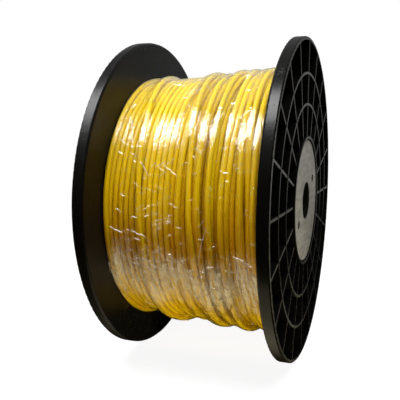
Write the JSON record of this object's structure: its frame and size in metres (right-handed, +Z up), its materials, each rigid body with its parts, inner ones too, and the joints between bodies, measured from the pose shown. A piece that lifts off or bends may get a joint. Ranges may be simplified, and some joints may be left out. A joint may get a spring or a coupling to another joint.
{
  "type": "wire spool",
  "caption": "Full spool of insulated wire: ribbed round plastic flanges on a bored hub, with an uneven winding held under a wrap of clear film.",
  "frame": {"origin": "centre of the shaft bore, midway between the two flanges", "axes": "+Y along the bore axis towards the near flange, +Z up with the spool standing on its rims, +X horizontal"},
  "size_m": [0.3, 0.1644, 0.3],
  "materials": {
    "flange_plastic": "moulded black polystyrene with a low satin gloss, handled and dusty",
    "hub_plastic": "moulded black polystyrene, finely scratched",
    "barrel_plastic": "plain moulded black polystyrene",
    "wire_insulation": "smooth yellow PVC insulation with a soft gloss",
    "clear_film": "clear stretch film, glossy and finely wrinkled",
    "zinc_steel": "bright zinc plating"
  },
  "bodies": {
    "root": {"near_flange": "flange_plastic", "far_flange": "flange_plastic", "barrel": "barrel_plastic", "arbor_tube": "barrel_plastic", "near_hub_plate": "hub_plastic", "far_hub_plate": "hub_plastic", "wire_inner_turns": "wire_insulation", "wire_outer_turns": "wire_insulation", "film_wrap": "clear_film", "tie_bolt_1": "zinc_steel", "tie_nut_1": "zinc_steel", "near_washer_1": "zinc_steel", "far_washer_1": "zinc_steel", "tie_bolt_2": "zinc_steel", "tie_nut_2": "zinc_steel", "near_washer_2": "zinc_steel", "far_washer_2": "zinc_steel", "tie_bolt_3": "zinc_steel", "tie_nut_3": "zinc_steel", "near_washer_3": "zinc_steel", "far_washer_3": "zinc_steel", "tie_bolt_4": "zinc_steel", "tie_nut_4": "zinc_steel", "near_washer_4": "zinc_steel", "far_washer_4": "zinc_steel"}
  },
  "joints": []
}
